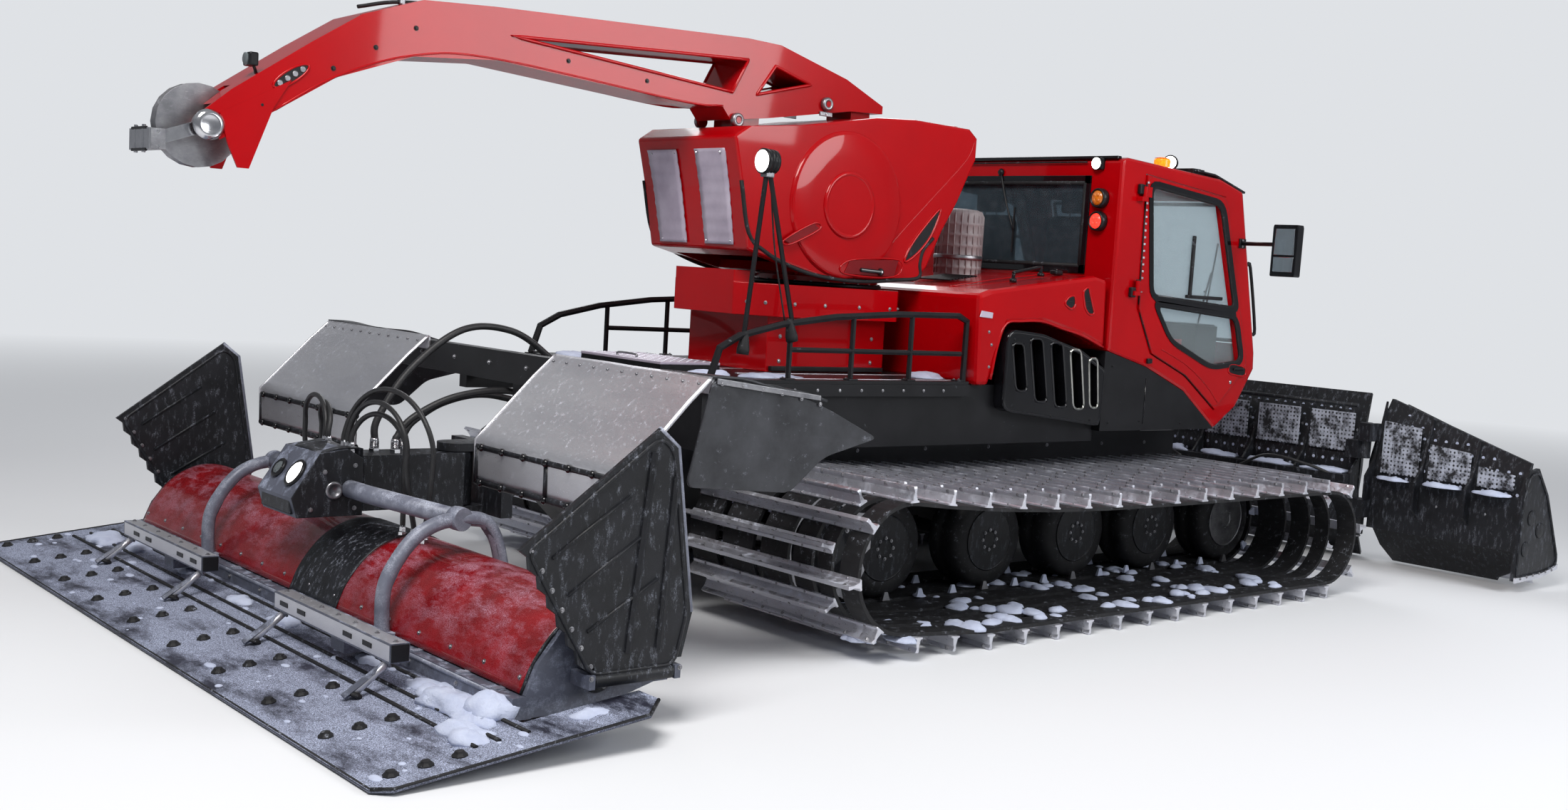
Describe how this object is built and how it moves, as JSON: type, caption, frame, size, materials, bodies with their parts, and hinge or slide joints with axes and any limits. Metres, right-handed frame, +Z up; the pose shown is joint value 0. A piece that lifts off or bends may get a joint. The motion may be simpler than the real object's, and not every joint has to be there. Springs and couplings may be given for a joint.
{
  "type": "snowcat groomer",
  "caption": "Tracked snow groomer with cab, slewing winch and boom, folding front blade, and rear tiller with finisher flap.",
  "frame": {"origin": "on the ground under the middle of the overall box", "axes": "+X towards the front blade, +Y to the left, +Z up"},
  "size_m": [9.52, 5.44, 3.364],
  "materials": {
    "red_paint": "glossy paint",
    "black_paint": "satin black paint",
    "grey_paint": "satin paint",
    "bare_sheet": "brushed",
    "track_alloy": "worn, frosted",
    "rubber": "matt",
    "steel": "brushed",
    "glass": "clear tinted",
    "engine_grey": "painted casting"
  },
  "bodies": {
    "chassis": {"chassis_frame": "black_paint", "engine_block": "engine_grey", "deck_and_rails": "black_paint", "track_left": "track_alloy", "track_right": "track_alloy", "road_axle_1": "rubber", "road_axle_2": "rubber", "road_axle_3": "rubber", "road_axle_4": "rubber", "idler_axle": "rubber", "drive_axle": "steel", "rear_guard_left": "bare_sheet", "rear_guard_right": "bare_sheet", "engine_hood": "red_paint", "air_intake": "grey_paint", "side_grille_left": "black_paint", "side_grille_right": "black_paint", "cab_shell": "red_paint", "windscreen": "glass", "rear_glass": "glass", "seats": "rubber", "control_console": "black_paint", "roof_lamp_bar": "black_paint", "winch_pedestal": "red_paint", "hose_1": "rubber", "hose_2": "rubber", "hose_3": "rubber"},
    "door_left": {"door_left": "red_paint", "door_glass_left": "glass"},
    "door_right": {"door_right": "red_paint", "door_glass_right": "glass"},
    "winch_turret": {"winch_housing": "red_paint", "winch_drum": "steel", "boom": "red_paint"},
    "sheave": {"boom_sheave": "bare_sheet"},
    "rope_guide": {"rope_guide": "bare_sheet"},
    "push_frame": {"push_frame": "black_paint"},
    "blade_swivel": {"blade_swivel": "steel"},
    "blade": {"blade_centre": "black_paint"},
    "blade_wing_left": {"blade_wing_left": "black_paint"},
    "blade_wing_right": {"blade_wing_right": "black_paint"},
    "tiller_arm": {"tiller_arm": "black_paint"},
    "tiller_head": {"tiller_head": "black_paint"},
    "tiller": {"tiller_frame": "grey_paint", "tiller_hood": "red_paint", "finisher_flap": "rubber"},
    "rotor_left": {"rotor_left": "steel"},
    "rotor_right": {"rotor_right": "steel"},
    "side_wing_left": {"side_wing_left": "rubber"},
    "side_wing_right": {"side_wing_right": "rubber"}
  },
  "joints": [
    {"name": "door_left_hinge", "type": "hinge", "parent": "chassis", "child": "door_left", "pos_m": [1.465, 1.03, 2.3], "axis": [0, 0, 1], "range_deg": [0, 75]},
    {"name": "door_right_hinge", "type": "hinge", "parent": "chassis", "child": "door_right", "pos_m": [1.465, -1.03, 2.3], "axis": [0, 0, -1], "range_deg": [0, 75]},
    {"name": "winch_slew", "type": "hinge", "parent": "chassis", "child": "winch_turret", "pos_m": [-0.54, 0, 1.95], "axis": [0, 0, 1], "continuous": true},
    {"name": "sheave_spin", "type": "hinge", "parent": "winch_turret", "child": "sheave", "pos_m": [-4.488, 0, 2.499], "axis": [0, 1, 0], "continuous": true},
    {"name": "rope_guide_swing", "type": "hinge", "parent": "winch_turret", "child": "rope_guide", "pos_m": [-4.488, 0, 2.499], "axis": [0, 1, 0], "range_deg": [-30, 40]},
    {"name": "blade_lift", "type": "hinge", "parent": "chassis", "child": "push_frame", "pos_m": [2.86, 0, 0.56], "axis": [0, -1, 0], "range_deg": [-4, 25]},
    {"name": "blade_swing", "type": "hinge", "parent": "push_frame", "child": "blade_swivel", "pos_m": [3.74, 0, 0.48], "axis": [0, 0, 1], "range_deg": [-15, 15]},
    {"name": "blade_tilt", "type": "hinge", "parent": "blade_swivel", "child": "blade", "pos_m": [3.9, 0, 0.48], "axis": [1, 0, 0], "range_deg": [-6, 6]},
    {"name": "blade_wing_left_fold", "type": "hinge", "parent": "blade", "child": "blade_wing_left", "pos_m": [4.08, 1.33, 0.48], "axis": [0, 0, -1], "range_deg": [-15, 40]},
    {"name": "blade_wing_right_fold", "type": "hinge", "parent": "blade", "child": "blade_wing_right", "pos_m": [4.08, -1.33, 0.48], "axis": [0, 0, 1], "range_deg": [-15, 40]},
    {"name": "tiller_lift", "type": "hinge", "parent": "chassis", "child": "tiller_arm", "pos_m": [-2.47, 0, 0.92], "axis": [0, 1, 0], "range_deg": [-3, 25], "deforming": ["hose_1", "hose_2", "hose_3"]},
    {"name": "tiller_swing", "type": "hinge", "parent": "tiller_arm", "child": "tiller_head", "pos_m": [-3.06, 0, 0.74], "axis": [0, 0, 1], "range_deg": [-5, 5]},
    {"name": "tiller_roll", "type": "hinge", "parent": "tiller_head", "child": "tiller", "pos_m": [-3.64, 0, 0.74], "axis": [1, 0, 0], "range_deg": [-4, 4]},
    {"name": "rotor_left_spin", "type": "hinge", "parent": "tiller", "child": "rotor_left", "pos_m": [-3.6, 1.18, 0.235], "axis": [0, 1, 0], "continuous": true},
    {"name": "rotor_right_spin", "type": "hinge", "parent": "tiller", "child": "rotor_right", "pos_m": [-3.6, -1.18, 0.235], "axis": [0, 1, 0], "continuous": true},
    {"name": "side_wing_left_fold", "type": "hinge", "parent": "tiller", "child": "side_wing_left", "pos_m": [-3.5, 2.45, 0.245], "axis": [-1, 0, 0], "range_deg": [0, 92]},
    {"name": "side_wing_right_fold", "type": "hinge", "parent": "tiller", "child": "side_wing_right", "pos_m": [-3.5, -2.45, 0.245], "axis": [1, 0, 0], "range_deg": [0, 92]}
  ]
}
